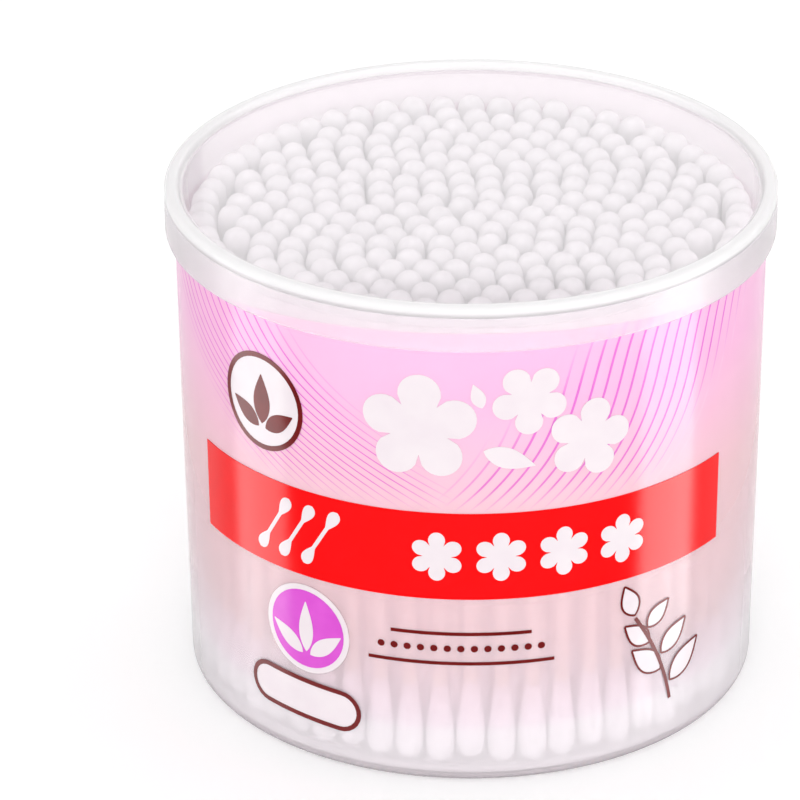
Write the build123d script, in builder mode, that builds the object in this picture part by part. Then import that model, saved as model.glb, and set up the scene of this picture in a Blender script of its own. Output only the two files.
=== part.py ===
from build123d import *
import math
import os
import numpy as np

os.makedirs("parts", exist_ok=True)

# Swabs: a bamboo stick with cotton wound on both ends
swab_length = 75.0
tip_diameter = 4.4
tip_length = 13.0
stick_diameter = 2.7
swab_corners = 3
# rings of a tip from its neck up: how far along the tip, and how wide
tip_ring_shares = [(0.0, stick_diameter / tip_diameter), (0.58, 1.0), (0.86, 0.9)]
# some swabs stand a little higher, where their neighbours hold them
standing_lift_height = 0.6

# How tightly the swabs stand: the share of the floor that their tips cover
filled_share = 0.785
settling_passes = 300

# Tub: a round cup of frosted polypropylene with a little draft, moulded in one piece
mouth_diameter = 89.0
draft_angle = 0.6
tub_wall = 1.0
floor_thickness = 0.9
standing_ring_width = 3.0
standing_ring_height = 0.4
foot_chamfer_height = 1.6
foot_chamfer_width = 1.0
floor_corner_width = 0.8
rim_bead_height = 1.3
rim_bead_width = 0.45

# Lid: a flat panel inside a raised rim, with a short skirt that presses over the tub's rim bead
lid_panel_thickness = 0.9
lid_rim_height = 1.0
lid_rim_width = 1.9
lid_rim_chamfer_width = 0.5
lid_rim_slope_width = 0.5
skirt_height = 4.0
skirt_thickness = 0.9

# Print: thin films of ink on the outside of the wall, with the band's edges as shares of the wall's height
ink_thickness = 0.1
pink_margin_height = 2.0
pink_bottom_share = 0.12
band_bottom_share = 0.406
band_top_share = 0.59
band_start_angle = -152.5
band_sweep_angle = 118.5

# Clearances between pieces that touch in the hand
lid_fit_clearance = 0.15
lid_seat_clearance = 0.05
head_clearance = 0.65
swab_clearance = 0.05
stick_clearance = 0.02
tip_clearance = 0.12
ink_clearance = 0.02

# Sizes that follow from those above
tip_radius = tip_diameter / 2
floor_level = standing_ring_height + floor_thickness
stand_level = floor_level + swab_clearance
panel_underside = stand_level + swab_length + standing_lift_height + head_clearance
panel_top = panel_underside + lid_panel_thickness
total_height = panel_top + lid_rim_height
skirt_bottom = total_height - skirt_height
tub_height = panel_underside - lid_seat_clearance
mouth_radius = mouth_diameter / 2
foot_radius = mouth_radius - tub_height * math.tan(math.radians(draft_angle))
rim_bead_radius = mouth_radius + rim_bead_width
skirt_inner_radius = rim_bead_radius + lid_fit_clearance
lid_radius = skirt_inner_radius + skirt_thickness


def wall_radius(height):
    """Outside radius of the drafted wall at a height above the table."""
    return foot_radius + (mouth_radius - foot_radius) * height / tub_height


def save(shape, name):
    shape.label = name
    export_step(shape, f"parts/{name}.step")


# Tub, turned from half of its section
bead_start = tub_height - rim_bead_height
bead_root = bead_start - rim_bead_width
ring_inner_radius = foot_radius - standing_ring_width
inner_floor_radius = wall_radius(floor_level) - tub_wall
with BuildPart() as tub:
    with BuildSketch(Plane.XZ):
        with BuildLine():
            Polyline(
                (0, standing_ring_height),
                (ring_inner_radius - standing_ring_height, standing_ring_height),
                (ring_inner_radius, 0),
                (foot_radius - foot_chamfer_width, 0),
                (wall_radius(foot_chamfer_height), foot_chamfer_height),
                (wall_radius(bead_root), bead_root),
                (rim_bead_radius, bead_start),
                (rim_bead_radius, tub_height),
                (mouth_radius - tub_wall, tub_height),
                (inner_floor_radius, floor_level + floor_corner_width),
                (inner_floor_radius - floor_corner_width, floor_level),
                (0, floor_level),
                close=True,
            )
        make_face()
    revolve(axis=Axis.Z)
save(tub.part, "tub")

# Lid, turned from half of its section
rim_inner_radius = lid_radius - lid_rim_width
with BuildPart() as lid:
    with BuildSketch(Plane.XZ):
        with BuildLine():
            Polyline(
                (0, panel_underside),
                (skirt_inner_radius, panel_underside),
                (skirt_inner_radius, skirt_bottom),
                (lid_radius, skirt_bottom),
                (lid_radius, total_height - lid_rim_chamfer_width),
                (lid_radius - lid_rim_chamfer_width, total_height),
                (rim_inner_radius, total_height),
                (rim_inner_radius - lid_rim_slope_width, panel_top),
                (0, panel_top),
                close=True,
            )
        make_face()
    revolve(axis=Axis.Z)
save(lid.part, "lid")


def ink_field(bottom, top, lift, start_angle, sweep):
    """A film of ink on the drafted wall, between two heights and over a sweep of angle."""
    inside = ink_clearance + lift
    outside = inside + ink_thickness
    with BuildPart() as film:
        with BuildSketch(Plane.XZ):
            with BuildLine():
                Polyline(
                    (wall_radius(bottom) + inside, bottom),
                    (wall_radius(bottom) + outside, bottom),
                    (wall_radius(top) + outside, top),
                    (wall_radius(top) + inside, top),
                    close=True,
                )
            make_face()
        revolve(axis=Axis.Z, revolution_arc=sweep)
    return film.part.rotate(Axis.Z, start_angle)


# The pink goes all round the wall, and the red band is printed over it across the front
full_turn = 360
pink_bottom = pink_bottom_share * tub_height
pink_top = skirt_bottom - pink_margin_height
band_lift = ink_thickness + ink_clearance
band_bottom = band_bottom_share * tub_height
band_top = band_top_share * tub_height
pink_print = ink_field(pink_bottom, pink_top, 0, 0, full_turn)
save(pink_print, "pink_print")
red_band = ink_field(band_bottom, band_top, band_lift, band_start_angle, band_sweep_angle)
save(red_band, "red_band")


def settled_places(count, reach, pitch):
    """Where round tips come to stand side by side: a full ring along the wall, then the rest inside it."""
    ring_count = int(math.pi / math.asin(pitch / reach / 2))
    ring = reach * np.exp(2j * math.pi * np.arange(ring_count) / ring_count)
    golden_turn = math.pi * (3 - math.sqrt(5))
    order = np.arange(count - ring_count)
    spots = (reach - pitch) * np.sqrt((order + 1) / len(order)) * np.exp(1j * golden_turn * order)
    for _ in range(settling_passes):
        standing = np.concatenate([spots, ring])
        away = spots[:, None] - standing[None, :]
        apart = np.abs(away) + 2 * pitch * np.eye(len(spots), len(standing))
        push = np.where(apart < pitch, (pitch - apart) / 2 * away / apart, 0)
        spots = spots + push.sum(axis=1)
    return np.concatenate([ring, spots])


def clear_places(spots, least):
    """The places that keep at least this far from those taken before them."""
    kept = []
    for spot in spots:
        if all(abs(spot - other) >= least for other in kept):
            kept.append(spot)
    return kept


# Each swab stands upright on the floor, some a little higher where their neighbours hold them
tip_pitch = tip_diameter + tip_clearance
standing_reach = inner_floor_radius - tip_radius - swab_clearance
tip_count = int(filled_share * (2 * standing_reach / tip_pitch + 1) ** 2)
places = clear_places(
    settled_places(tip_count, standing_reach, tip_pitch), tip_diameter + tip_clearance / 2
)
golden_share = (math.sqrt(5) - 1) / 2
foot_levels = [
    stand_level + standing_lift_height * (number * golden_share % 1)
    for number in range(len(places))
]


def corner_ring(radius, height, turn):
    """The corners of one ring of a tip, evenly round its axis."""
    step = 2 * math.pi / swab_corners
    return [
        (
            radius * math.cos(turn + step * corner),
            radius * math.sin(turn + step * corner),
            height,
        )
        for corner in range(swab_corners)
    ]


# Wound cotton tip: a long taper from the neck, a full belly and a blunt crown, with its neck at the origin
tip_points = [(0, 0, tip_length)]
for number, (along_share, width_share) in enumerate(tip_ring_shares):
    half_step = math.pi / swab_corners * (number % 2)
    tip_points += corner_ring(tip_radius * width_share, tip_length * along_share, half_step)
with BuildPart() as tip:
    ConvexPolyhedron(tip_points)

# Bamboo stick between the necks of its two tips
stick_length = swab_length - 2 * tip_length - 2 * stick_clearance
with BuildPart() as stick:
    with BuildSketch():
        RegularPolygon(stick_diameter / 2, side_count=swab_corners)
    extrude(amount=stick_length)


def stand_copies(shape, rise, flip):
    """One copy of a swab's piece at every place, a given rise above that swab's foot."""
    copies = []
    for number, (place, foot) in enumerate(zip(places, foot_levels)):
        turn = full_turn * (number * golden_share % 1)
        spot = Location((place.real, place.imag, foot + rise), (flip, 0, turn))
        copies.append(spot * shape)
    return Compound(children=copies)


half_turn = 180
neck_rise = tip_length + stick_clearance
save(stand_copies(stick.part, neck_rise, 0), "swab_sticks")
save(stand_copies(tip.part, swab_length - tip_length, 0), "upper_tips")
save(stand_copies(tip.part, tip_length, half_turn), "lower_tips")
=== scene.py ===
import math

import bmesh
import bpy
import numpy as np
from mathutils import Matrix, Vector, noise

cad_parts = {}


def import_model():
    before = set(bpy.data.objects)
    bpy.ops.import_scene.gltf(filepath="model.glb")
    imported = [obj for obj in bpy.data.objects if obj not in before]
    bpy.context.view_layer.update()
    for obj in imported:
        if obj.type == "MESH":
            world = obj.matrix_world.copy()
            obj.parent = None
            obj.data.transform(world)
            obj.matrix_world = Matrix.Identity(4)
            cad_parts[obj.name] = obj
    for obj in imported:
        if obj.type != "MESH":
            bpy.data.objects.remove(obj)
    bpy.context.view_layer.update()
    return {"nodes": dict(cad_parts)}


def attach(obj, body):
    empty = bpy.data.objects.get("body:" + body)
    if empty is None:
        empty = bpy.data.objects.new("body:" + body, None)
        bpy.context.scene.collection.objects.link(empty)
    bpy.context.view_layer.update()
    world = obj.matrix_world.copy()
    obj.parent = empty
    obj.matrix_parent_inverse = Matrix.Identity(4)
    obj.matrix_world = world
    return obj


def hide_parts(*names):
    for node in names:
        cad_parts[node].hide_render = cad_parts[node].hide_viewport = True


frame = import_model()
scene = bpy.context.scene
scene.view_settings.view_transform = "Standard"
rng = np.random.default_rng(7)

MM = 0.001
FULL_TURN = 2 * math.pi
UPRIGHT = math.pi / 2

# Sizes of the moulded pieces in millimetres, as in the part's source
TOTAL_HEIGHT = 79.5
TUB_HEIGHT = 77.55
MOUTH_RADIUS = 44.5
DRAFT_ANGLE = 0.6
FOOT_RADIUS = MOUTH_RADIUS - TUB_HEIGHT * math.tan(math.radians(DRAFT_ANGLE))
TUB_WALL = 1.0
FLOOR_LEVEL = 1.3
STANDING_RING_WIDTH = 3.0
STANDING_RING_HEIGHT = 0.4
BEAD_RADIUS = 44.95
BEAD_BOTTOM = 76.25
BEAD_ROOT = 75.8
LID_RADIUS = 46.0
PANEL_UNDERSIDE = 77.6
PANEL_TOP = TOTAL_HEIGHT - 1.0
PANEL_RADIUS = 43.6
RIM_INNER_RADIUS = 44.1
SKIRT_INNER_RADIUS = 45.1

# The photograph's skirt reaches this far down, 3 mm further than the solid's
SKIRT_BOTTOM = 72.5

# Faces round a full turn of a moulded piece or film
TURN_SEGMENTS = 192
# Edges that bend by more than this stay sharp
SHARP_ANGLE = math.radians(35)


def wall_radius(height):
    """Outside radius of the drafted wall, in millimetres."""
    return FOOT_RADIUS + (MOUTH_RADIUS - FOOT_RADIUS) * height / TUB_HEIGHT


# Meshes


def mesh_object(name, points, faces, material, smooth=True):
    mesh = bpy.data.meshes.new(name)
    mesh.from_pydata([tuple(p) for p in points], [], faces)
    mesh.validate()
    mesh.update()
    if smooth:
        mesh.shade_smooth()
    obj = bpy.data.objects.new(name, mesh)
    scene.collection.objects.link(obj)
    mesh.materials.append(material)
    return obj


def face_outwards(obj):
    bm = bmesh.new()
    bm.from_mesh(obj.data)
    bmesh.ops.recalc_face_normals(bm, faces=bm.faces)
    bm.to_mesh(obj.data)
    bm.free()


def rounded(corners, steps=6):
    """A closed section with some corners rounded: (r, z, radius) in millimetres."""
    out = []
    count = len(corners)
    for i, (r, z, radius) in enumerate(corners):
        here = Vector((r, z))
        if radius <= 0:
            out.append((r, z))
            continue
        before = (Vector(corners[i - 1][:2]) - here).normalized()
        after = (Vector(corners[(i + 1) % count][:2]) - here).normalized()
        half = before.angle(after) / 2
        reach = radius / math.tan(half)
        start, end = here + before * reach, here + after * reach
        middle = here + (before + after).normalized() * (radius / math.sin(half))
        a, b = start - middle, end - middle
        sweep = a.angle_signed(b)
        for k in range(steps + 1):
            turn = -sweep * k / steps
            c, s = math.cos(turn), math.sin(turn)
            out.append((middle.x + a.x * c - a.y * s, middle.y + a.x * s + a.y * c))
    return out


def held_flat(section, gap=0.12):
    """The section with two more points on each long straight run, this gap from its ends, so that
    smooth shading bends only there."""
    out = []
    for (r0, z0), (r1, z1) in zip(section, section[1:]):
        out.append((r0, z0))
        length = math.hypot(r1 - r0, z1 - z0)
        if length > 4 * gap:
            for share in (gap / length, 1 - gap / length):
                out.append((r0 + (r1 - r0) * share, z0 + (z1 - z0) * share))
    return out + section[-1:]


def turned(name, section, material, segments=TURN_SEGMENTS):
    """A solid turned round Z from a section that starts and ends on the axis."""
    points, faces, rings = [], [], []
    for r, z in held_flat(section):
        start = len(points)
        if r == 0:
            points.append((0.0, 0.0, z * MM))
            rings.append([start])
            continue
        for k in range(segments):
            a = FULL_TURN * k / segments
            points.append((r * MM * math.cos(a), r * MM * math.sin(a), z * MM))
        rings.append(list(range(start, start + segments)))
    for low, high in zip(rings, rings[1:]):
        for k in range(segments):
            n = (k + 1) % segments
            if len(low) == 1:
                faces.append((low[0], high[k], high[n]))
            elif len(high) == 1:
                faces.append((low[k], high[0], low[n]))
            else:
                faces.append((low[k], high[k], high[n], low[n]))
    obj = mesh_object(name, points, faces, material)
    face_outwards(obj)
    return obj


# Shader nodes


def new_material(name):
    mat = bpy.data.materials.new(name)
    mat.use_nodes = True
    tree = mat.node_tree
    return mat, tree, tree.nodes["Principled BSDF"]


def node(tree, kind, **inputs):
    """A new node, with the values of some of its inputs."""
    made = tree.nodes.new(kind)
    for key, value in inputs.items():
        made.inputs[key].default_value = value
    return made


def math_node(tree, operation, a, b=None, clamp=False):
    """The result of a sum on one or two numbers or sockets."""
    made = tree.nodes.new("ShaderNodeMath")
    made.operation = operation
    made.use_clamp = clamp
    for socket, value in zip(made.inputs, (a, b)):
        if value is None:
            continue
        if isinstance(value, (int, float)):
            socket.default_value = value
        else:
            tree.links.new(value, socket)
    return made.outputs[0]


def map_range(tree, value, source, target):
    """A value taken from one range, low and high, to another, and held at its ends."""
    made = tree.nodes.new("ShaderNodeMapRange")
    tree.links.new(value, made.inputs["Value"])
    for key, number in zip(("From Min", "From Max", "To Min", "To Max"), (*source, *target)):
        made.inputs[key].default_value = number
    return made.outputs["Result"]


def ramp(tree, value, stops):
    made = tree.nodes.new("ShaderNodeValToRGB")
    elements = made.color_ramp.elements
    while len(elements) < len(stops):
        elements.new(0.5)
    for element, (at, colour) in zip(elements, stops):
        element.position = at
        element.color = (*colour, 1.0)
    tree.links.new(value, made.inputs["Fac"])
    return made.outputs["Color"]


def object_coords(tree):
    return tree.nodes.new("ShaderNodeTexCoord").outputs["Object"]


def split_axes(tree, coords):
    made = tree.nodes.new("ShaderNodeSeparateXYZ")
    tree.links.new(coords, made.inputs[0])
    return made.outputs["X"], made.outputs["Y"], made.outputs["Z"]


def height_share(tree, height):
    """A height in metres as a share of the whole object's."""
    return map_range(tree, height, (0, TOTAL_HEIGHT * MM), (0, 1))


def noise_of(tree, coords, scale, detail=2.0, roughness=0.5):
    made = node(tree, "ShaderNodeTexNoise", Scale=scale, Detail=detail, Roughness=roughness)
    tree.links.new(coords, made.inputs["Vector"])
    return made.outputs["Fac"]


def scaled(tree, coords, scale):
    made = node(tree, "ShaderNodeMapping", Scale=scale)
    tree.links.new(coords, made.inputs["Vector"])
    return made.outputs["Vector"]


def bump(tree, principled, height, strength, distance):
    made = node(tree, "ShaderNodeBump", Strength=strength, Distance=distance)
    tree.links.new(height, made.inputs["Height"])
    tree.links.new(made.outputs["Normal"], principled.inputs["Normal"])


def mix_surface(tree, factor, first, second):
    """The material's surface: the first shader at a factor of 0 and the second at 1."""
    mix = tree.nodes.new("ShaderNodeMixShader")
    tree.links.new(factor, mix.inputs["Fac"])
    tree.links.new(first, mix.inputs[1])
    tree.links.new(second, mix.inputs[2])
    tree.links.new(mix.outputs["Shader"], tree.nodes["Material Output"].inputs["Surface"])


def let_light_in(tree, surface, tint):
    """Lamp light passes a thin translucent wall, tinted; every other ray meets the surface."""
    path = tree.nodes.new("ShaderNodeLightPath")
    through = node(tree, "ShaderNodeBsdfTransparent", Color=(*tint, 1))
    mix_surface(tree, path.outputs["Is Shadow Ray"], surface, through.outputs["BSDF"])


# Materials, with ramps as lists of places and linear colours

COTTON_SHADES = [(0.3, (0.905, 0.885, 0.898)), (0.7, (0.945, 0.93, 0.94))]
BAMBOO_SHADES = [(0.25, (0.9, 0.76, 0.6)), (0.75, (0.96, 0.86, 0.73))]

# Plastic, by height as a share of the whole: the tub's floor and foot are tinted darker, painted shade under
# the tips
PLASTIC_IOR = 1.49
TUB_TINTS_AND_FLOOR_SHADE = [(0.017, (0.89, 0.835, 0.865)), (0.03, (0.96, 0.93, 0.95)), (1.0, (0.96, 0.92, 0.945))]
TUB_TRANSMISSION = 0.62
TUB_ROUGHNESS = 0.1
TUB_SHADOW_TINT = (0.97, 0.95, 0.965)
# The lid's tints by height: the lightest, on the ridge of the rim, is a painted highlight line
LID_TINTS_AND_RIDGE_HIGHLIGHT = [(0.95, (0.93, 0.89, 0.91)), (0.985, (0.93, 0.9, 0.92)), (0.993, (0.99, 0.98, 0.985))]
LID_SHADOW_TINT = (0.97, 0.965, 0.97)
# The ridge lets little light through, so that it shows white: a painted highlight line
PANEL_TRANSMISSION, SKIRT_TRANSMISSION, RIDGE_HIGHLIGHT_TRANSMISSION = 0.82, 0.74, 0.185
PANEL_ROUGHNESS, SKIRT_ROUGHNESS = 0.04, 0.27
# Radii between which the lid's finish turns from panel to skirt, and heights from skirt to painted ridge
# highlight
PANEL_TO_SKIRT = (43.0 * MM, 44.0 * MM)
SKIRT_TO_RIDGE_HIGHLIGHT = (77.9 * MM, 78.6 * MM)

INK_ROUGHNESS = 0.17
# By height as a share of the whole: how far the pink covers, and where its lower colour turns upper
PINK_COVER = [(0.12, 0.0), (0.2, 0.09), (0.28, 0.2), (0.4, 0.32), (0.57, 0.6), (0.72, 0.75)]
PINK_TURN = (0.52, 0.8)
# The pink's two colours, each from its cloudy ground at 0 to its fine lines at 1
PINK_UPPER = [(0.0, (0.98, 0.53, 0.79)), (0.25, (0.98, 0.58, 0.82)), (1.0, (0.79, 0.1, 0.68))]
PINK_LOWER = [(0.0, (0.93, 0.63, 0.67)), (0.25, (0.93, 0.67, 0.7)), (1.0, (0.79, 0.1, 0.6))]
PINK_SHADOW_TINT = (1.0, 0.93, 0.97)

# Two sheaves of fine lines lean opposite ways: tilt and pace in radians a metre, sway and middle in radians
LINE_SHEAVES = [
    {"tilt": 26.0, "sway": 0.13, "pace": 120.0, "middle": -0.62},
    {"tilt": -21.0, "sway": 0.16, "pace": 95.0, "middle": 0.42},
]
LINES_PER_RADIAN = 20.0
LINE_WIDTH_SHARE = 0.14
SHEAF_MIDDLE_LEVEL = 55.0 * MM
SHEAF_EDGES = (0.28, 0.5)
LINES_START = (44.0 * MM, 50.0 * MM)
LINES_STRENGTH = 0.85


def cotton_material():
    mat, tree, p = new_material("cotton")
    coords = object_coords(tree)
    patch = noise_of(tree, coords, scale=420.0, detail=3.0)
    tree.links.new(ramp(tree, patch, COTTON_SHADES), p.inputs["Base Color"])
    p.inputs["Roughness"].default_value = 0.95
    p.inputs["Sheen Weight"].default_value = 0.25
    p.inputs["Sheen Roughness"].default_value = 0.6
    along_tip = scaled(tree, coords, (1.0, 1.0, 0.45))
    fibre = noise_of(tree, along_tip, scale=3600.0, detail=4.0, roughness=0.65)
    bump(tree, p, fibre, strength=0.35, distance=0.2 * MM)
    return mat


def bamboo_material():
    mat, tree, p = new_material("bamboo")
    along_stick = scaled(tree, object_coords(tree), (1.0, 1.0, 0.03))
    streak = noise_of(tree, along_stick, scale=2400.0, detail=3.0)
    tree.links.new(ramp(tree, streak, BAMBOO_SHADES), p.inputs["Base Color"])
    p.inputs["Roughness"].default_value = 0.6
    bump(tree, p, streak, strength=0.15, distance=0.1 * MM)
    return mat


def plastic_material(name, tints, shadow_tint):
    """Frosted polypropylene, tinted by height, that lets lamp light through."""
    mat, tree, p = new_material(name)
    axes = split_axes(tree, object_coords(tree))
    tree.links.new(ramp(tree, height_share(tree, axes[2]), tints), p.inputs["Base Color"])
    p.inputs["IOR"].default_value = PLASTIC_IOR
    let_light_in(tree, p.outputs["BSDF"], shadow_tint)
    return mat, tree, p, axes


def tub_material():
    # The lowest tint darkens the tub's floor and foot: painted shade under the tips
    mat, tree, p, axes = plastic_material("tub_plastic", TUB_TINTS_AND_FLOOR_SHADE, TUB_SHADOW_TINT)
    p.inputs["Transmission Weight"].default_value = TUB_TRANSMISSION
    p.inputs["Roughness"].default_value = TUB_ROUGHNESS
    return mat


def lid_material():
    """A clear panel inside a milkier skirt, with the ridge on top of the rim milkier and lighter still: a
    painted highlight line.
    """
    mat, tree, p, (x, y, z) = plastic_material("lid_plastic", LID_TINTS_AND_RIDGE_HIGHLIGHT, LID_SHADOW_TINT)
    squares = math_node(tree, "ADD", math_node(tree, "POWER", x, 2), math_node(tree, "POWER", y, 2))
    radius = math_node(tree, "SQRT", squares)
    # Towards the ridge the plastic turns milky and white, a painted highlight
    outside_and_ridge_highlight = map_range(tree, z, SKIRT_TO_RIDGE_HIGHLIGHT, (SKIRT_TRANSMISSION, RIDGE_HIGHLIGHT_TRANSMISSION))
    through = map_range(tree, radius, PANEL_TO_SKIRT, (PANEL_TRANSMISSION, SKIRT_TRANSMISSION))
    tree.links.new(outside_and_ridge_highlight, through.node.inputs["To Max"])
    tree.links.new(through, p.inputs["Transmission Weight"])
    rough = map_range(tree, radius, PANEL_TO_SKIRT, (PANEL_ROUGHNESS, SKIRT_ROUGHNESS))
    tree.links.new(rough, p.inputs["Roughness"])
    return mat


def wave_lines(tree, turn, height, tilt, sway, pace):
    """Fine lines that sway as they cross the wall: 1 on a line, 0 between."""
    rise = math_node(tree, "MULTIPLY", height, tilt)
    swing = math_node(tree, "SINE", math_node(tree, "MULTIPLY", height, pace))
    swing = math_node(tree, "MULTIPLY", swing, sway)
    along = math_node(tree, "ADD", math_node(tree, "ADD", turn, rise), swing)
    phase = math_node(tree, "FRACT", math_node(tree, "MULTIPLY", along, LINES_PER_RADIAN))
    off = math_node(tree, "ABSOLUTE", math_node(tree, "SUBTRACT", phase, 0.5))
    return map_range(tree, off, (LINE_WIDTH_SHARE / 2, LINE_WIDTH_SHARE), (1, 0))


def line_sheaf(tree, turn, height, tilt, sway, pace, middle):
    """A sheaf of wave lines that fades out to both sides of its leaning middle."""
    lines = wave_lines(tree, turn, height, tilt, sway, pace)
    lean = math_node(tree, "ADD", turn, math_node(tree, "MULTIPLY", height, tilt))
    away = math_node(tree, "SUBTRACT", lean, middle + tilt * SHEAF_MIDDLE_LEVEL)
    fade = map_range(tree, math_node(tree, "ABSOLUTE", away), SHEAF_EDGES, (1, 0))
    return math_node(tree, "MULTIPLY", lines, fade)


def pink_ink_material():
    mat, tree, p = new_material("pink_ink")
    coords = object_coords(tree)
    x, y, height = split_axes(tree, coords)
    turn = math_node(tree, "ARCTAN2", x, math_node(tree, "MULTIPLY", y, -1))
    sheaves = [line_sheaf(tree, turn, height, **sheaf) for sheaf in LINE_SHEAVES]
    lines = math_node(tree, "MAXIMUM", *sheaves)
    lines = math_node(tree, "MULTIPLY", lines, map_range(tree, height, LINES_START, (0, LINES_STRENGTH)))
    cloud = map_range(tree, noise_of(tree, coords, scale=28.0), (0.3, 0.7), (0, 0.25))
    pick = math_node(tree, "MAXIMUM", cloud, lines)
    share = height_share(tree, height)
    tint = tree.nodes.new("ShaderNodeMix")
    tint.data_type = "RGBA"
    tree.links.new(map_range(tree, share, PINK_TURN, (0, 1)), tint.inputs["Factor"])
    tree.links.new(ramp(tree, pick, PINK_LOWER), tint.inputs[6])
    tree.links.new(ramp(tree, pick, PINK_UPPER), tint.inputs[7])
    tree.links.new(tint.outputs[2], p.inputs["Base Color"])
    p.inputs["Roughness"].default_value = INK_ROUGHNESS
    cover = ramp(tree, share, [(at, (grey, grey, grey)) for at, grey in PINK_COVER])
    tree.links.new(cover, p.inputs["Alpha"])
    let_light_in(tree, p.outputs["BSDF"], PINK_SHADOW_TINT)
    return mat


def ink_material(name, dark, light):
    mat, tree, p = new_material(name)
    cloud = noise_of(tree, object_coords(tree), scale=240.0)
    tree.links.new(ramp(tree, cloud, [(0.3, dark), (0.7, light)]), p.inputs["Base Color"])
    p.inputs["Roughness"].default_value = INK_ROUGHNESS
    return mat


COTTON = cotton_material()
BAMBOO = bamboo_material()
TUB_PLASTIC = tub_material()
LID_PLASTIC = lid_material()
PINK_INK = pink_ink_material()
RED_INK = ink_material("red_ink", (0.9, 0.0008, 0.002), (0.95, 0.001, 0.003))
WHITE_INK = ink_material("white_ink", (0.82, 0.74, 0.78), (0.85, 0.78, 0.81))
BROWN_INK = ink_material("brown_ink", (0.14, 0.006, 0.006), (0.18, 0.01, 0.01))
PURPLE_INK = ink_material("purple_ink", (0.68, 0.085, 0.62), (0.74, 0.11, 0.67))

# Tub and lid, with the roundings of their edges in millimetres

RING_ROUNDING = 0.15
FOOT_ROUNDING = 1.6
BEAD_ROUNDING = 0.15
MOUTH_ROUNDING = 0.3
FLOOR_CORNER_ROUNDING = 0.5
PANEL_CORNER_ROUNDING = 0.2
SKIRT_INSIDE_ROUNDING = 0.25
SKIRT_EDGE_ROUNDING = 0.3
RIM_OUTSIDE_ROUNDING = 0.85
RIM_INSIDE_ROUNDING = 0.5
RIM_ROOT_ROUNDING = 0.4


def tub_shell():
    ring_inner_radius = FOOT_RADIUS - STANDING_RING_WIDTH
    section = rounded(
        [
            (0, STANDING_RING_HEIGHT, 0),
            (ring_inner_radius - STANDING_RING_HEIGHT, STANDING_RING_HEIGHT, 0),
            (ring_inner_radius, 0, RING_ROUNDING),
            (FOOT_RADIUS, 0, FOOT_ROUNDING),
            (wall_radius(BEAD_ROOT), BEAD_ROOT, 0),
            (BEAD_RADIUS, BEAD_BOTTOM, BEAD_ROUNDING),
            (BEAD_RADIUS, TUB_HEIGHT, MOUTH_ROUNDING),
            (MOUTH_RADIUS - TUB_WALL, TUB_HEIGHT, MOUTH_ROUNDING),
            (wall_radius(FLOOR_LEVEL) - TUB_WALL, FLOOR_LEVEL, FLOOR_CORNER_ROUNDING),
            (0, FLOOR_LEVEL, 0),
        ]
    )
    obj = turned("tub_shell", section, TUB_PLASTIC)
    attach(obj, "tub")
    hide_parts("tub")


def lid_shell():
    section = rounded(
        [
            (0, PANEL_UNDERSIDE, 0),
            (SKIRT_INNER_RADIUS, PANEL_UNDERSIDE, PANEL_CORNER_ROUNDING),
            (SKIRT_INNER_RADIUS, SKIRT_BOTTOM, SKIRT_INSIDE_ROUNDING),
            (LID_RADIUS, SKIRT_BOTTOM, SKIRT_EDGE_ROUNDING),
            (LID_RADIUS, TOTAL_HEIGHT, RIM_OUTSIDE_ROUNDING),
            (RIM_INNER_RADIUS, TOTAL_HEIGHT, RIM_INSIDE_ROUNDING),
            (PANEL_RADIUS, PANEL_TOP, RIM_ROOT_ROUNDING),
            (0, PANEL_TOP, 0),
        ]
    )
    obj = turned("lid_shell", section, LID_PLASTIC)
    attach(obj, "lid")
    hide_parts("lid")


tub_shell()
lid_shell()

# Swabs, each at the place of its CAD solids

TIP_RADIUS = 2.2 * MM
# Share of the tip's length from its neck, and share of its radius
TIP_SHARES = [
    (0.0, 0.54), (0.12, 0.59), (0.26, 0.7), (0.4, 0.83), (0.52, 0.925), (0.63, 0.98), (0.73, 1.0),
    (0.81, 0.985), (0.87, 0.93), (0.92, 0.82), (0.958, 0.65), (0.985, 0.42), (1.0, 0.0),
]
# The photograph's upper tips stand this much lower under the lid than the solids do
HEAD_DROP = 2.0 * MM
# Its lower tips stand unevenly, higher than the solids by something between these
FOOT_LIFT = (0.2 * MM, 1.3 * MM)
# How the tips differ: in width, in how far their crowns lean, and in lumps about as wide as the tip
TIP_WIDTH_SHARES = (0.98, 1.025)
TIP_LEAN = 0.07
LEAN_REACH = TIP_RADIUS * 0.6
LUMP_SHARE = 0.045
LUMP_SCALE = 1.3
LUMP_STRETCH = 4
LUMP_FIELD = 50

STICK_RADIUS = 1.15 * MM
STICK_WIDTH_SHARES = (0.94, 1.04)
STICK_OVERLAP = 0.4 * MM
STICK_SEGMENTS = 10


def solids_of(name):
    """The corner points of each solid in a CAD node."""
    mesh = frame["nodes"][name].data
    keys, index = {}, []
    for v in mesh.vertices:
        key = tuple(round(c, 7) for c in v.co)
        index.append(keys.setdefault(key, len(keys)))
    parent = list(range(len(keys)))

    def top(i):
        while parent[i] != i:
            parent[i] = parent[parent[i]]
            i = parent[i]
        return i

    for polygon in mesh.polygons:
        first, *others = (index[v] for v in polygon.vertices)
        for other in others:
            parent[top(other)] = top(first)
    groups = {}
    for key, i in keys.items():
        groups.setdefault(top(i), []).append(key)
    return [np.array(g) for g in groups.values()]


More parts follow.
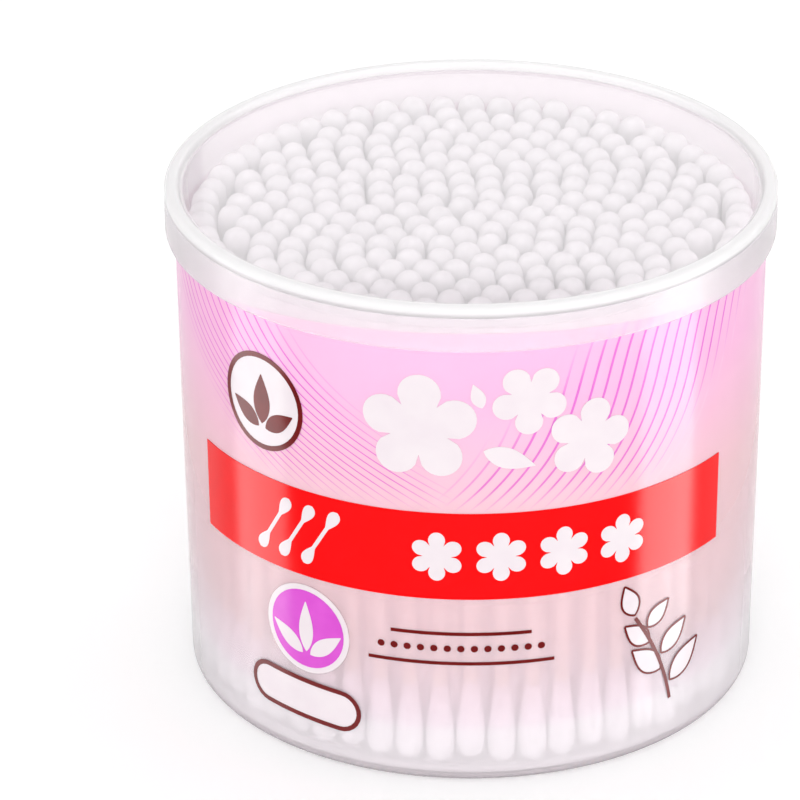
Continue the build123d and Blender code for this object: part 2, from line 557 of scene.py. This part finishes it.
def cotton_tips(name, node_name, segments, outline, up):
    """Wound tips, each a little different, with their crowns up or down."""
    points, faces = [], []
    for solid in solids_of(node_name):
        x, y = solid[:, 0].mean(), solid[:, 1].mean()
        low, high = solid[:, 2].min(), solid[:, 2].max()
        shift = -HEAD_DROP if up else rng.uniform(*FOOT_LIFT)
        neck, crown = (low + shift, high + shift) if up else (high + shift, low + shift)
        turn = rng.uniform(0, FULL_TURN)
        width_share = rng.uniform(*TIP_WIDTH_SHARES)
        lean = rng.uniform(-TIP_LEAN, TIP_LEAN, 2)
        seed = Vector(rng.uniform(-LUMP_FIELD, LUMP_FIELD, 3))
        start = len(points)
        for along, wide in outline:
            z = neck + (crown - neck) * along
            drift = along ** 2 * LEAN_REACH
            cx, cy = x + lean[0] * drift, y + lean[1] * drift
            if wide == 0:
                points.append((cx, cy, z))
                continue
            for k in range(segments):
                a = turn + FULL_TURN * k / segments
                spot = Vector((math.cos(a), math.sin(a), along * LUMP_STRETCH))
                lump = noise.noise(spot * LUMP_SCALE + seed)
                r = TIP_RADIUS * wide * width_share * (1 + LUMP_SHARE * lump)
                points.append((cx + r * math.cos(a), cy + r * math.sin(a), z))
        rings = len(outline) - 1
        for ring in range(rings - 1):
            a0, b0 = start + ring * segments, start + (ring + 1) * segments
            for k in range(segments):
                n = (k + 1) % segments
                quad = (a0 + k, a0 + n, b0 + n, b0 + k)
                faces.append(quad if up else quad[::-1])
        last, apex = start + (rings - 1) * segments, start + rings * segments
        for k in range(segments):
            tri = (last + k, last + (k + 1) % segments, apex)
            faces.append(tri if up else tri[::-1])
        neck_face = tuple(start + k for k in range(segments))
        faces.append(neck_face[::-1] if up else neck_face)
    obj = mesh_object(name, points, faces, COTTON)
    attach(obj, "tub")
    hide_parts(node_name)


def bamboo_sticks():
    """Round sticks that reach a little way into their tips."""
    segments = STICK_SEGMENTS
    points, faces = [], []
    for solid in solids_of("swab_sticks"):
        x, y = solid[:, 0].mean(), solid[:, 1].mean()
        low = solid[:, 2].min() - STICK_OVERLAP
        high = solid[:, 2].max() + STICK_OVERLAP - HEAD_DROP
        radius = STICK_RADIUS * rng.uniform(*STICK_WIDTH_SHARES)
        start = len(points)
        for z in (low, high):
            for k in range(segments):
                a = FULL_TURN * k / segments
                points.append((x + radius * math.cos(a), y + radius * math.sin(a), z))
        for k in range(segments):
            n = (k + 1) % segments
            faces.append((start + k, start + n, start + segments + n, start + segments + k))
        faces.append(tuple(start + k for k in range(segments))[::-1])
        faces.append(tuple(start + segments + k for k in range(segments)))
    obj = mesh_object("bamboo_sticks", points, faces, BAMBOO)
    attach(obj, "tub")
    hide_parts("swab_sticks")


cotton_tips("cotton_tips_upper", "upper_tips", 18, TIP_SHARES, True)
cotton_tips("cotton_tips_lower", "lower_tips", 14, TIP_SHARES[::2], False)
bamboo_sticks()

# Fields of ink: the red band is the CAD node's own solid, and the pink has a curved upper edge

PINK_BOTTOM = 9.3
PINK_FRONT_TOP = 75.0
PINK_LEAST_TOP = 72.0
PINK_ARCH = 7.0
PINK_INSIDE, PINK_OUTSIDE = 0.02, 0.12


def red_band():
    materials = frame["nodes"]["red_band"].data.materials
    materials.clear()
    materials.append(RED_INK)


def pink_film(segments=TURN_SEGMENTS):
    """The pink field round the wall: its upper edge is highest in the middle of the front."""
    points, faces = [], []
    for k in range(segments):
        turn = FULL_TURN * k / segments
        top = max(PINK_FRONT_TOP - PINK_ARCH * (1 - math.cos(turn)), PINK_LEAST_TOP)
        corners = (
            (PINK_BOTTOM, PINK_INSIDE),
            (PINK_BOTTOM, PINK_OUTSIDE),
            (top, PINK_OUTSIDE),
            (top, PINK_INSIDE),
        )
        for height, lift in corners:
            r = (wall_radius(height) + lift) * MM
            points.append((r * math.sin(turn), -r * math.cos(turn), height * MM))
        a, b = 4 * k, 4 * ((k + 1) % segments)
        faces += [(a + i, b + i, b + (i + 1) % 4, a + (i + 1) % 4) for i in range(4)]
    obj = mesh_object("pink_film", points, faces, PINK_INK)
    obj.data.set_sharp_from_angle(angle=SHARP_ANGLE)
    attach(obj, "tub")
    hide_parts("pink_print")


red_band()
pink_film()

# Flat shapes of the print in millimetres: along the wall from the middle of the front, and up from the table

WRAP_RADIUS = 44.2
# Cells of a flat shape stay about this small, so that they follow the wall
CELL = 1.6
# Films of ink: thickness, the gap between two, and how far off the wall they lie on pink and band
FILM = 0.03
FILM_GAP = 0.01
ON_PINK, ON_BAND = 0.14, 0.26
OVER_FIRST = ON_PINK + FILM + FILM_GAP
OVER_SECOND = OVER_FIRST + FILM + FILM_GAP


def placed(shape, centre, angle=0.0):
    points, faces = shape
    c, s = math.cos(angle), math.sin(angle)
    return [(centre[0] + u * c - v * s, centre[1] + u * s + v * c) for u, v in points], faces


def round_shape(outline, rings):
    """A shape that its centre can see all round, as rings about that centre."""
    count = len(outline)
    points, faces = [(0.0, 0.0)], []
    for ring in range(1, rings + 1):
        points += [(u * ring / rings, v * ring / rings) for u, v in outline]
    for k in range(count):
        n = (k + 1) % count
        faces.append((0, 1 + k, 1 + n))
        for ring in range(rings - 1):
            a = 1 + ring * count
            faces.append((a + k, a + count + k, a + count + n, a + n))
    return points, faces


def ring_path(centre, radius, count=48):
    angles = [FULL_TURN * k / count for k in range(count)]
    return [(centre[0] + radius * math.cos(a), centre[1] + radius * math.sin(a)) for a in angles]


def disc(centre, radius, count=48):
    return placed(round_shape(ring_path((0, 0), radius, count), math.ceil(radius / CELL)), centre)


def blossom(centre, radius, petals, angle=0.0, petal_points=16):
    """A flower whose edge swings between half its radius and all of it."""
    count = petals * petal_points
    outline = []
    for k in range(count):
        a = FULL_TURN * k / count
        r = radius * (0.5 + 0.5 * abs(math.cos(petals * a / 2)) ** 0.55)
        outline.append((r * math.cos(a), r * math.sin(a)))
    return placed(round_shape(outline, math.ceil(radius / CELL)), centre, angle)


def pill_outline(width, height, count=12):
    r, out = height / 2, []
    flat = width / 2 - r
    for side, start in ((1, -UPRIGHT), (-1, UPRIGHT)):
        for k in range(count + 1):
            a = start + math.pi * k / count
            out.append((side * flat + r * math.cos(a), r * math.sin(a)))
        steps = max(2, math.ceil(2 * flat / CELL))
        out += [(side * flat * (1 - 2 * k / steps), side * r) for k in range(1, steps)]
    return out


def pill(centre, width, height, angle=0.0):
    rings = math.ceil(height / CELL / 2)
    return placed(round_shape(pill_outline(width, height), rings), centre, angle)


def strip(left, right, closed=False, across=1):
    """A band between two lines of points, in even steps across."""
    rows = [
        [(a[0] + (b[0] - a[0]) * i / across, a[1] + (b[1] - a[1]) * i / across) for a, b in zip(left, right)]
        for i in range(across + 1)
    ]
    length = len(left)
    faces = []
    for i in range(across):
        for k in range(length if closed else length - 1):
            n = (k + 1) % length
            faces.append((i * length + k, i * length + n, (i + 1) * length + n, (i + 1) * length + k))
    return [point for row in rows for point in row], faces


def leaf_edges(length, width, count=14):
    """Both edges of an almond shape, blunt at its ends and widest towards its stem end."""
    blunt, lean = 0.06, 0.8
    upper = []
    for k in range(count + 1):
        share = k / count
        upper.append((length * share, blunt + width / 2 * math.sin(math.pi * share ** lean)))
    return upper, [(u, -v) for u, v in upper]


def leaf(centre, length, width, angle):
    """An almond shape with its stem end at the centre given."""
    return placed(strip(*leaf_edges(length, width), across=2), centre, angle)


def leaf_outline(centre, length, width, angle):
    upper, lower = leaf_edges(length, width)
    return placed((upper + lower[::-1], []), centre, angle)[0]


def swab_figure(centre, length, angle, count=48):
    """A swab drawn flat, with a rounded tip at each end of its stick."""
    tip_share, stick_half, blunt, bulge, lean = 0.3, 0.3, 0.06, 0.85, 0.62

    def half(share):
        end = min(share, 1 - share) / tip_share
        if end >= 1:
            return stick_half
        return blunt + (stick_half - blunt) * end + bulge * math.sin(math.pi * end ** lean)

    upper = [(length * (k / count - 0.5), half(k / count)) for k in range(count + 1)]
    return placed(strip(upper, [(u, -v) for u, v in upper], across=2), centre, angle)


def stroke(path, width, closed):
    """A line of even width along a path."""
    count = len(path)
    left, right = [], []
    for i, (u, v) in enumerate(path):
        before = path[i - 1] if closed or i > 0 else path[i]
        after = path[(i + 1) % count] if closed or i < count - 1 else path[i]
        du, dv = after[0] - before[0], after[1] - before[1]
        size = math.hypot(du, dv) or 1.0
        nu, nv = -dv / size * width / 2, du / size * width / 2
        left.append((u + nu, v + nv))
        right.append((u - nu, v - nv))
    return strip(left, right, closed)


def rule(centre, length, width, step=1.4):
    """A straight level line."""
    steps = math.ceil(length / step)
    path = [(centre[0] + length * (k / steps - 0.5), centre[1]) for k in range(steps + 1)]
    return stroke(path, width, False)


def on_wall(u, v, lift):
    angle, radius = u / WRAP_RADIUS, (wall_radius(v) + lift) * MM
    return radius * math.sin(angle), -radius * math.cos(angle), v * MM


def decal(name, shapes, material, lift):
    """Thin films of ink on the wall, one closed solid to a shape."""
    points, faces = [], []
    for flat, cells in shapes:
        start, count = len(points), len(flat)
        points += [on_wall(u, v, lift) for u, v in flat]
        points += [on_wall(u, v, lift + FILM) for u, v in flat]
        edges = set()
        for cell in cells:
            edges.update(zip(cell, cell[1:] + cell[:1]))
            faces.append(tuple(start + i for i in reversed(cell)))
            faces.append(tuple(start + count + i for i in cell))
        for a, b in sorted(edges):
            if (b, a) not in edges:
                faces.append((start + a, start + b, start + count + b, start + count + a))
    obj = mesh_object(name, points, faces, material)
    face_outwards(obj)
    obj.data.set_sharp_from_angle(angle=SHARP_ANGLE)
    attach(obj, "tub")


# The print, a generic one: its places are (along, up) and its angles in radians


def blossoms():
    shapes = [
        blossom((-7.5, 59.5), radius=8.6, petals=5, angle=0.3),
        blossom((8.5, 64.0), radius=5.6, petals=5, angle=0.9),
        blossom((17.5, 56.5), radius=6.4, petals=5, angle=0.1),
        leaf((1.8, 56.0), length=8.0, width=3.2, angle=-0.35),
        leaf((1.6, 63.0), length=4.0, width=2.0, angle=1.9),
    ]
    decal("print_blossoms", shapes, WHITE_INK, ON_PINK)


def badge():
    """A white disc with a brown edge and three brown leaves, to the left of the blossoms."""
    along, up = centre = (-33.5, 58.0)
    radius, line, spread = 7.6, 0.8, 1.0
    decal("print_badge_field", [disc(centre, radius)], WHITE_INK, ON_PINK)
    lines = [
        stroke(ring_path(centre, radius - line / 4), line, True),
        leaf((along, up - 3.6), length=8.0, width=3.2, angle=UPRIGHT),
        leaf((along - 0.7, up - 4.2), length=6.2, width=2.6, angle=UPRIGHT + spread),
        leaf((along + 0.7, up - 4.2), length=6.2, width=2.6, angle=UPRIGHT - spread),
    ]
    decal("print_badge_lines", lines, BROWN_INK, OVER_FIRST)


def band_figures():
    """White swabs and flowers on the red band."""
    level = 38.6
    swabs = [swab_figure((-31.5 + 4.2 * k, level), length=11.5, angle=1.02) for k in range(3)]
    flowers = [blossom((-5.0 + 9.4 * k, level), radius=4.0, petals=6, angle=math.pi / 6) for k in range(4)]
    decal("print_band_figures", swabs + flowers, WHITE_INK, ON_BAND)


def rules():
    """A row of brown dots between two brown lines, under the band."""
    middle, line = -1.5, 0.55
    lines = [rule((middle, 25.6), 21.0, line), rule((middle, 20.6), 28.0, line)]
    dots = [disc((middle + 2.0 * k, 23.1), line, 20) for k in range(-6, 7)]
    decal("print_rules", lines + dots, BROWN_INK, ON_PINK)


def roundel():
    """A purple disc with a white edge and three white leaves."""
    along, up = centre = (-26.0, 22.4)
    radius, edge = 6.5, 0.9
    leaves = []
    for side in (-1, 0, 1):
        stem_end = (along + 0.7 * side, up - 3.8 - 0.4 * abs(side))
        leaves.append(leaf(stem_end, 8.4 - 1.6 * abs(side), 2.4, UPRIGHT - 0.9 * side))
    decal("print_roundel_field", [disc(centre, radius + edge)], WHITE_INK, ON_PINK)
    decal("print_roundel", [disc(centre, radius)], PURPLE_INK, OVER_FIRST)
    decal("print_roundel_leaves", leaves, WHITE_INK, OVER_SECOND)


def label():
    """An empty white label with a brown edge, under the roundel."""
    centre, angle = (-27.0, 10.3), -0.06
    width, height, inset, line = 20.0, 6.6, 0.4, 0.75
    edge = placed((pill_outline(width - inset, height - inset), []), centre, angle)[0]
    decal("print_label_field", [pill(centre, width, height, angle)], WHITE_INK, ON_PINK)
    decal("print_label_line", [stroke(edge, line, True)], BROWN_INK, OVER_FIRST)


def sprig():
    """A bent brown stem with white leaves on both sides and one at its end."""
    stem = [(33.0 - 0.18 * k - 0.012 * k * k, 8.0 + 0.9 * k) for k in range(19)]
    leaves = []
    for k, side in ((3, 1), (6, -1), (9, 1), (12, -1), (15, 1)):
        stem_end = (stem[k][0] + side * 0.6, stem[k][1] + 0.5)
        leaves.append((stem_end, 8.6 - 0.22 * k, 4.0 - 0.08 * k, UPRIGHT - side * 0.85))
    leaves.append(((stem[-1][0] - 0.1, stem[-1][1] + 0.6), 5.6, 3.0, UPRIGHT + 0.35))
    lines = [stroke(stem, 0.6, False)] + [stroke(leaf_outline(*one), 0.34, True) for one in leaves]
    decal("print_sprig_leaves", [leaf(*one) for one in leaves], WHITE_INK, ON_PINK)
    decal("print_sprig_lines", lines, BROWN_INK, OVER_FIRST)


blossoms()
badge()
band_figures()
rules()
roundel()
label()
sprig()

# Floor, light and camera, in metres and watts

FLOOR_SIZE = 4.0
FLOOR_SHADES = [(0.3, (0.9, 0.9, 0.9)), (0.7, (0.915, 0.915, 0.915))]
# What is added to the floor as the camera sees it, so that lit paper is white
FLOOR_GLOW = 0.2
# A mirrored ray that is shorter than this range meets the floor, and a longer one looks past it
FLOOR_MIRROR_RANGE = (4.0 * MM, 50.0 * MM)
# The studio's strength above the horizon, and below it from front to back, where only reflections look
SKY_STRENGTH = 0.71
UNDER_STRENGTHS = (0.03, 1.0)
UNDER_RANGE = (-0.1, 0.85)
HORIZON_RANGE = (-0.05, 0.05)
SEEN_THROUGH_STRENGTH = 0.7


def floor():
    """White paper. The camera sees it a little brighter, and reflections look past it to the studio."""
    mat, tree, p = new_material("floor_white")
    cloud = noise_of(tree, object_coords(tree), scale=6.0)
    tree.links.new(ramp(tree, cloud, FLOOR_SHADES), p.inputs["Base Color"])
    p.inputs["Roughness"].default_value = 0.9
    p.inputs["Emission Color"].default_value = (1, 1, 1, 1)
    path = tree.nodes.new("ShaderNodeLightPath").outputs
    seen = math_node(tree, "MAXIMUM", path["Is Camera Ray"], path["Is Transmission Ray"])
    tree.links.new(math_node(tree, "MULTIPLY", seen, FLOOR_GLOW), p.inputs["Emission Strength"])
    mirrored = math_node(tree, "SUBTRACT", path["Is Glossy Ray"], path["Is Transmission Ray"], clamp=True)
    far = map_range(tree, path["Ray Length"], FLOOR_MIRROR_RANGE, (0, 1))
    through = tree.nodes.new("ShaderNodeBsdfTransparent")
    past = math_node(tree, "MULTIPLY", mirrored, far)
    mix_surface(tree, past, p.outputs["BSDF"], through.outputs["BSDF"])
    corners = [(FLOOR_SIZE * x, FLOOR_SIZE * y, 0) for x, y in ((-1, -1), (1, -1), (1, 1), (-1, 1))]
    obj = mesh_object("floor", corners, [(0, 1, 2, 3)], mat, smooth=False)


def world():
    """A pale room that is white to the camera. Below the horizon it is bright behind the object."""
    made = bpy.data.worlds.new("studio")
    scene.world = made
    made.use_nodes = True
    tree = made.node_tree
    back = tree.nodes["Background"]
    back.inputs["Color"].default_value = (1, 1, 1, 1)
    directions = tree.nodes.new("ShaderNodeTexCoord").outputs["Generated"]
    x, y, z = split_axes(tree, directions)
    over = map_range(tree, z, HORIZON_RANGE, (0, SKY_STRENGTH))
    under = map_range(tree, y, UNDER_RANGE, UNDER_STRENGTHS)
    under = math_node(tree, "MULTIPLY", under, map_range(tree, z, HORIZON_RANGE, (1, 0)))
    dome = math_node(tree, "MAXIMUM", over, under)
    path = tree.nodes.new("ShaderNodeLightPath").outputs
    seen_through = math_node(tree, "MULTIPLY", path["Is Transmission Ray"], SEEN_THROUGH_STRENGTH)
    seen = math_node(tree, "MAXIMUM", path["Is Camera Ray"], seen_through)
    tree.links.new(math_node(tree, "MAXIMUM", dome, seen), back.inputs["Strength"])


def softbox(name, place, target, size, power, mirrored=True):
    """A lamp with a soft face. One that isn't mirrored doesn't show in reflections."""
    data = bpy.data.lights.new(name, "AREA")
    data.shape = "RECTANGLE"
    data.size, data.size_y = size
    data.energy = power
    obj = bpy.data.objects.new(name, data)
    obj.location = place
    obj.rotation_euler = (Vector(target) - Vector(place)).to_track_quat("-Z", "Y").to_euler()
    obj.visible_glossy = mirrored
    scene.collection.objects.link(obj)


def camera():
    """The photograph's own view, found from its outline."""
    distance, elevation = 0.736, math.radians(26.9)
    focal_px, frame_px = 4790.0, 800.0
    centre_px = (471.0, 412.6)
    data = bpy.data.cameras.new("camera")
    data.sensor_width = 36.0
    data.lens = focal_px / frame_px * data.sensor_width
    data.shift_x = -(centre_px[0] - frame_px / 2) / frame_px
    data.shift_y = (centre_px[1] - frame_px / 2) / frame_px
    obj = bpy.data.objects.new("camera", data)
    aim = TOTAL_HEIGHT / 2 * MM
    obj.location = (0, -distance * math.cos(elevation), aim + distance * math.sin(elevation))
    obj.rotation_euler = (UPRIGHT - elevation, 0, 0)
    scene.collection.objects.link(obj)
    scene.camera = obj


floor()
world()
# Tall strips give the walls their highlights
# The front fill's mirror image would hide the swabs from behind
softbox("left_strip", (-0.75, 0.0, -0.35), target=(0, 0, -0.35), size=(0.36, 1.1), power=3.0)
softbox("right_strip", (0.75, -0.1, -0.35), target=(0, 0, -0.35), size=(0.36, 1.1), power=5.0)
softbox("top_box", (0.0, 0.25, 0.85), target=(0, 0, 0.04), size=(1.0, 0.4), power=1.3)
softbox("front_fill", (0.0, -1.15, 0.36), target=(0, 0, 0.04), size=(0.9, 0.5), power=5.9, mirrored=False)
softbox("back_card", (0.24, 1.3, 0.6), target=(0.24, 0, 0.6), size=(0.72, 0.22), power=0.4)
camera()
